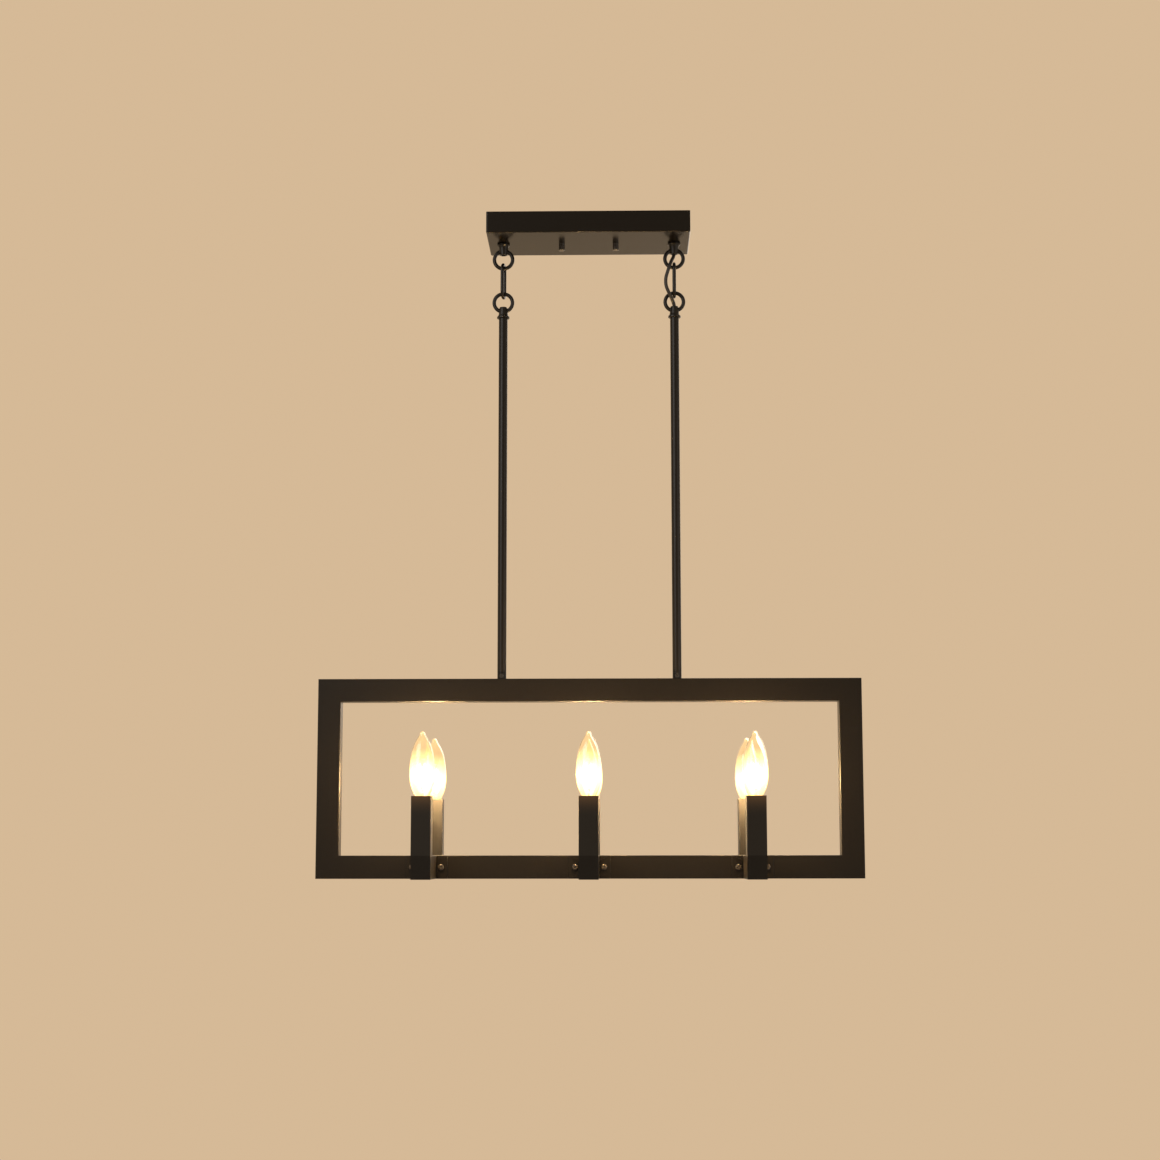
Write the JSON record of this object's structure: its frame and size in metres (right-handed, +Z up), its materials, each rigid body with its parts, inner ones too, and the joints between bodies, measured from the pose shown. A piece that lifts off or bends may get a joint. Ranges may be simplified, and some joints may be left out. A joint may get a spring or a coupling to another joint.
{
  "type": "linear island pendant",
  "caption": "Rectangular open frame of square steel tube hung by two rods and chain links from an oblong canopy, with candle lights on short arms before and behind its bottom bar.",
  "frame": {"origin": "centre of the ceiling plane, on which the canopy rim and the ceiling strap sit, midway between the two box slots", "axes": "+Z up to the ceiling, +X along the frame towards the side with the supply cord, -Y the front"},
  "size_m": [0.762, 0.2172, 0.9418],
  "materials": {
    "canopy_black": "semi-gloss black paint",
    "frame_black": "satin black powder coat",
    "sleeve_black": "satin black powder coat",
    "cast_black": "satin black paint on cast and bent fittings",
    "screw_black": "black oxide with worn edges",
    "zinc_steel": "zinc plated",
    "green_screw": "green dyed zinc",
    "socket_plastic": "moulded phenolic",
    "black_cord": "smooth black cord jacket",
    "inner_wire": "wire insulation",
    "bulb_glass": "clear glass",
    "bulb_base": "screw shell",
    "bulb_filament": "lit warm white filament"
  },
  "bodies": {
    "mounting": {"canopy": "canopy_black", "ceiling_strap": "zinc_steel", "canopy_strap": "zinc_steel", "canopy_studs": "zinc_steel", "stud_nuts": "zinc_steel", "cap_nuts": "screw_black", "ground_screw": "green_screw", "upper_loop_left": "cast_black", "upper_loop_right": "cast_black", "loop_nuts": "zinc_steel", "canopy_leads": "inner_wire", "supply_cord": "black_cord"},
    "right_link": {"link_right": "cast_black"},
    "left_link": {"link_left": "cast_black"},
    "hanging_frame": {"lower_loop_left": "cast_black", "lower_loop_right": "cast_black", "rod_left": "frame_black", "rod_right": "frame_black", "rod_stubs": "frame_black", "rod_stems": "zinc_steel", "rod_set_screws": "screw_black", "frame_top_bar": "frame_black", "frame_bottom_bar": "frame_black", "frame_left_post": "frame_black", "frame_right_post": "frame_black", "arm_left_front": "frame_black", "arm_left_rear": "frame_black", "arm_centre_front": "frame_black", "arm_centre_rear": "frame_black", "arm_right_front": "frame_black", "arm_right_rear": "frame_black", "arm_plates": "frame_black", "arm_screws": "screw_black", "sleeve_left_front": "sleeve_black", "sleeve_left_rear": "sleeve_black", "sleeve_centre_front": "sleeve_black", "sleeve_centre_rear": "sleeve_black", "sleeve_right_front": "sleeve_black", "sleeve_right_rear": "sleeve_black", "lamp_sockets": "socket_plastic", "socket_nipples": "zinc_steel", "frame_harness": "inner_wire"},
    "bulb_left_front": {"bulb_glass_left_front": "bulb_glass", "bulb_base_left_front": "bulb_base", "bulb_filament_left_front": "bulb_filament"},
    "bulb_left_rear": {"bulb_glass_left_rear": "bulb_glass", "bulb_base_left_rear": "bulb_base", "bulb_filament_left_rear": "bulb_filament"},
    "bulb_centre_front": {"bulb_glass_centre_front": "bulb_glass", "bulb_base_centre_front": "bulb_base", "bulb_filament_centre_front": "bulb_filament"},
    "bulb_centre_rear": {"bulb_glass_centre_rear": "bulb_glass", "bulb_base_centre_rear": "bulb_base", "bulb_filament_centre_rear": "bulb_filament"},
    "bulb_right_front": {"bulb_glass_right_front": "bulb_glass", "bulb_base_right_front": "bulb_base", "bulb_filament_right_front": "bulb_filament"},
    "bulb_right_rear": {"bulb_glass_right_rear": "bulb_glass", "bulb_base_right_rear": "bulb_base", "bulb_filament_right_rear": "bulb_filament"}
  },
  "joints": [
    {"name": "right_link_swing", "type": "hinge", "parent": "mounting", "child": "right_link", "pos_m": [0.1235, 0, -0.0676], "axis": [1, 0, 0], "range_deg": [-35, 35], "deforming": ["supply_cord"]},
    {"name": "frame_swing", "type": "hinge", "parent": "right_link", "child": "hanging_frame", "pos_m": [0.1235, 0, -0.1052], "axis": [1, 0, 0], "range_deg": [-35, 35]},
    {"name": "left_link_swing", "type": "hinge", "parent": "mounting", "child": "left_link", "pos_m": [-0.1235, 0, -0.0676], "axis": [1, 0, 0], "range_deg": [-35, 35]},
    {"name": "bulb_left_front_lift", "type": "slide", "parent": "hanging_frame", "child": "bulb_left_front", "axis": [0, 0, 1], "range_m": [0, 0.032]},
    {"name": "bulb_left_rear_lift", "type": "slide", "parent": "hanging_frame", "child": "bulb_left_rear", "axis": [0, 0, 1], "range_m": [0, 0.032]},
    {"name": "bulb_centre_front_lift", "type": "slide", "parent": "hanging_frame", "child": "bulb_centre_front", "axis": [0, 0, 1], "range_m": [0, 0.032]},
    {"name": "bulb_centre_rear_lift", "type": "slide", "parent": "hanging_frame", "child": "bulb_centre_rear", "axis": [0, 0, 1], "range_m": [0, 0.032]},
    {"name": "bulb_right_front_lift", "type": "slide", "parent": "hanging_frame", "child": "bulb_right_front", "axis": [0, 0, 1], "range_m": [0, 0.032]},
    {"name": "bulb_right_rear_lift", "type": "slide", "parent": "hanging_frame", "child": "bulb_right_rear", "axis": [0, 0, 1], "range_m": [0, 0.032]}
  ],
  "couplings": [
    {"joint": "left_link_swing", "follows": "right_link_swing", "ratio": 1}
  ]
}
